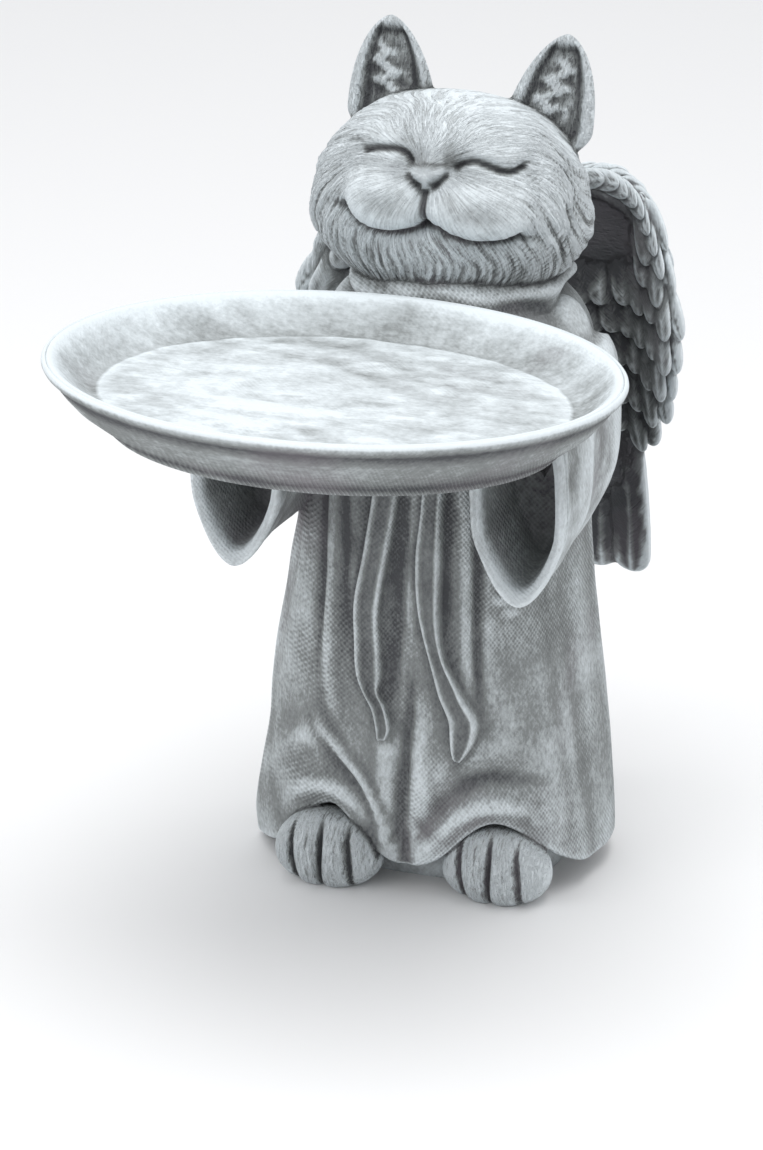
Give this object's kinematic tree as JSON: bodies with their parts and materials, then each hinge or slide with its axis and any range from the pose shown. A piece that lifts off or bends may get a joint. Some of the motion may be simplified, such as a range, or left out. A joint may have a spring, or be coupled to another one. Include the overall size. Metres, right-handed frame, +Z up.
{
  "type": "pet memorial statue",
  "caption": "Weathered stone-look garden memorial statue of a smiling winged cat in a long robe that holds out a wide oval dish, cast in one piece.",
  "frame": {"origin": "on the ground plane under the head, on the flat underside", "axes": "+Z up, -Y the way the figure faces and holds the dish, +X to the right as seen from the front"},
  "size_m": [0.165, 0.2288, 0.254],
  "materials": {
    "cast_stone": "matt cast stone, weathered grey with dark grooves and light dry-brushed high points"
  },
  "bodies": {
    "root": {"cat_angel_statue": "cast_stone"}
  },
  "joints": []
}
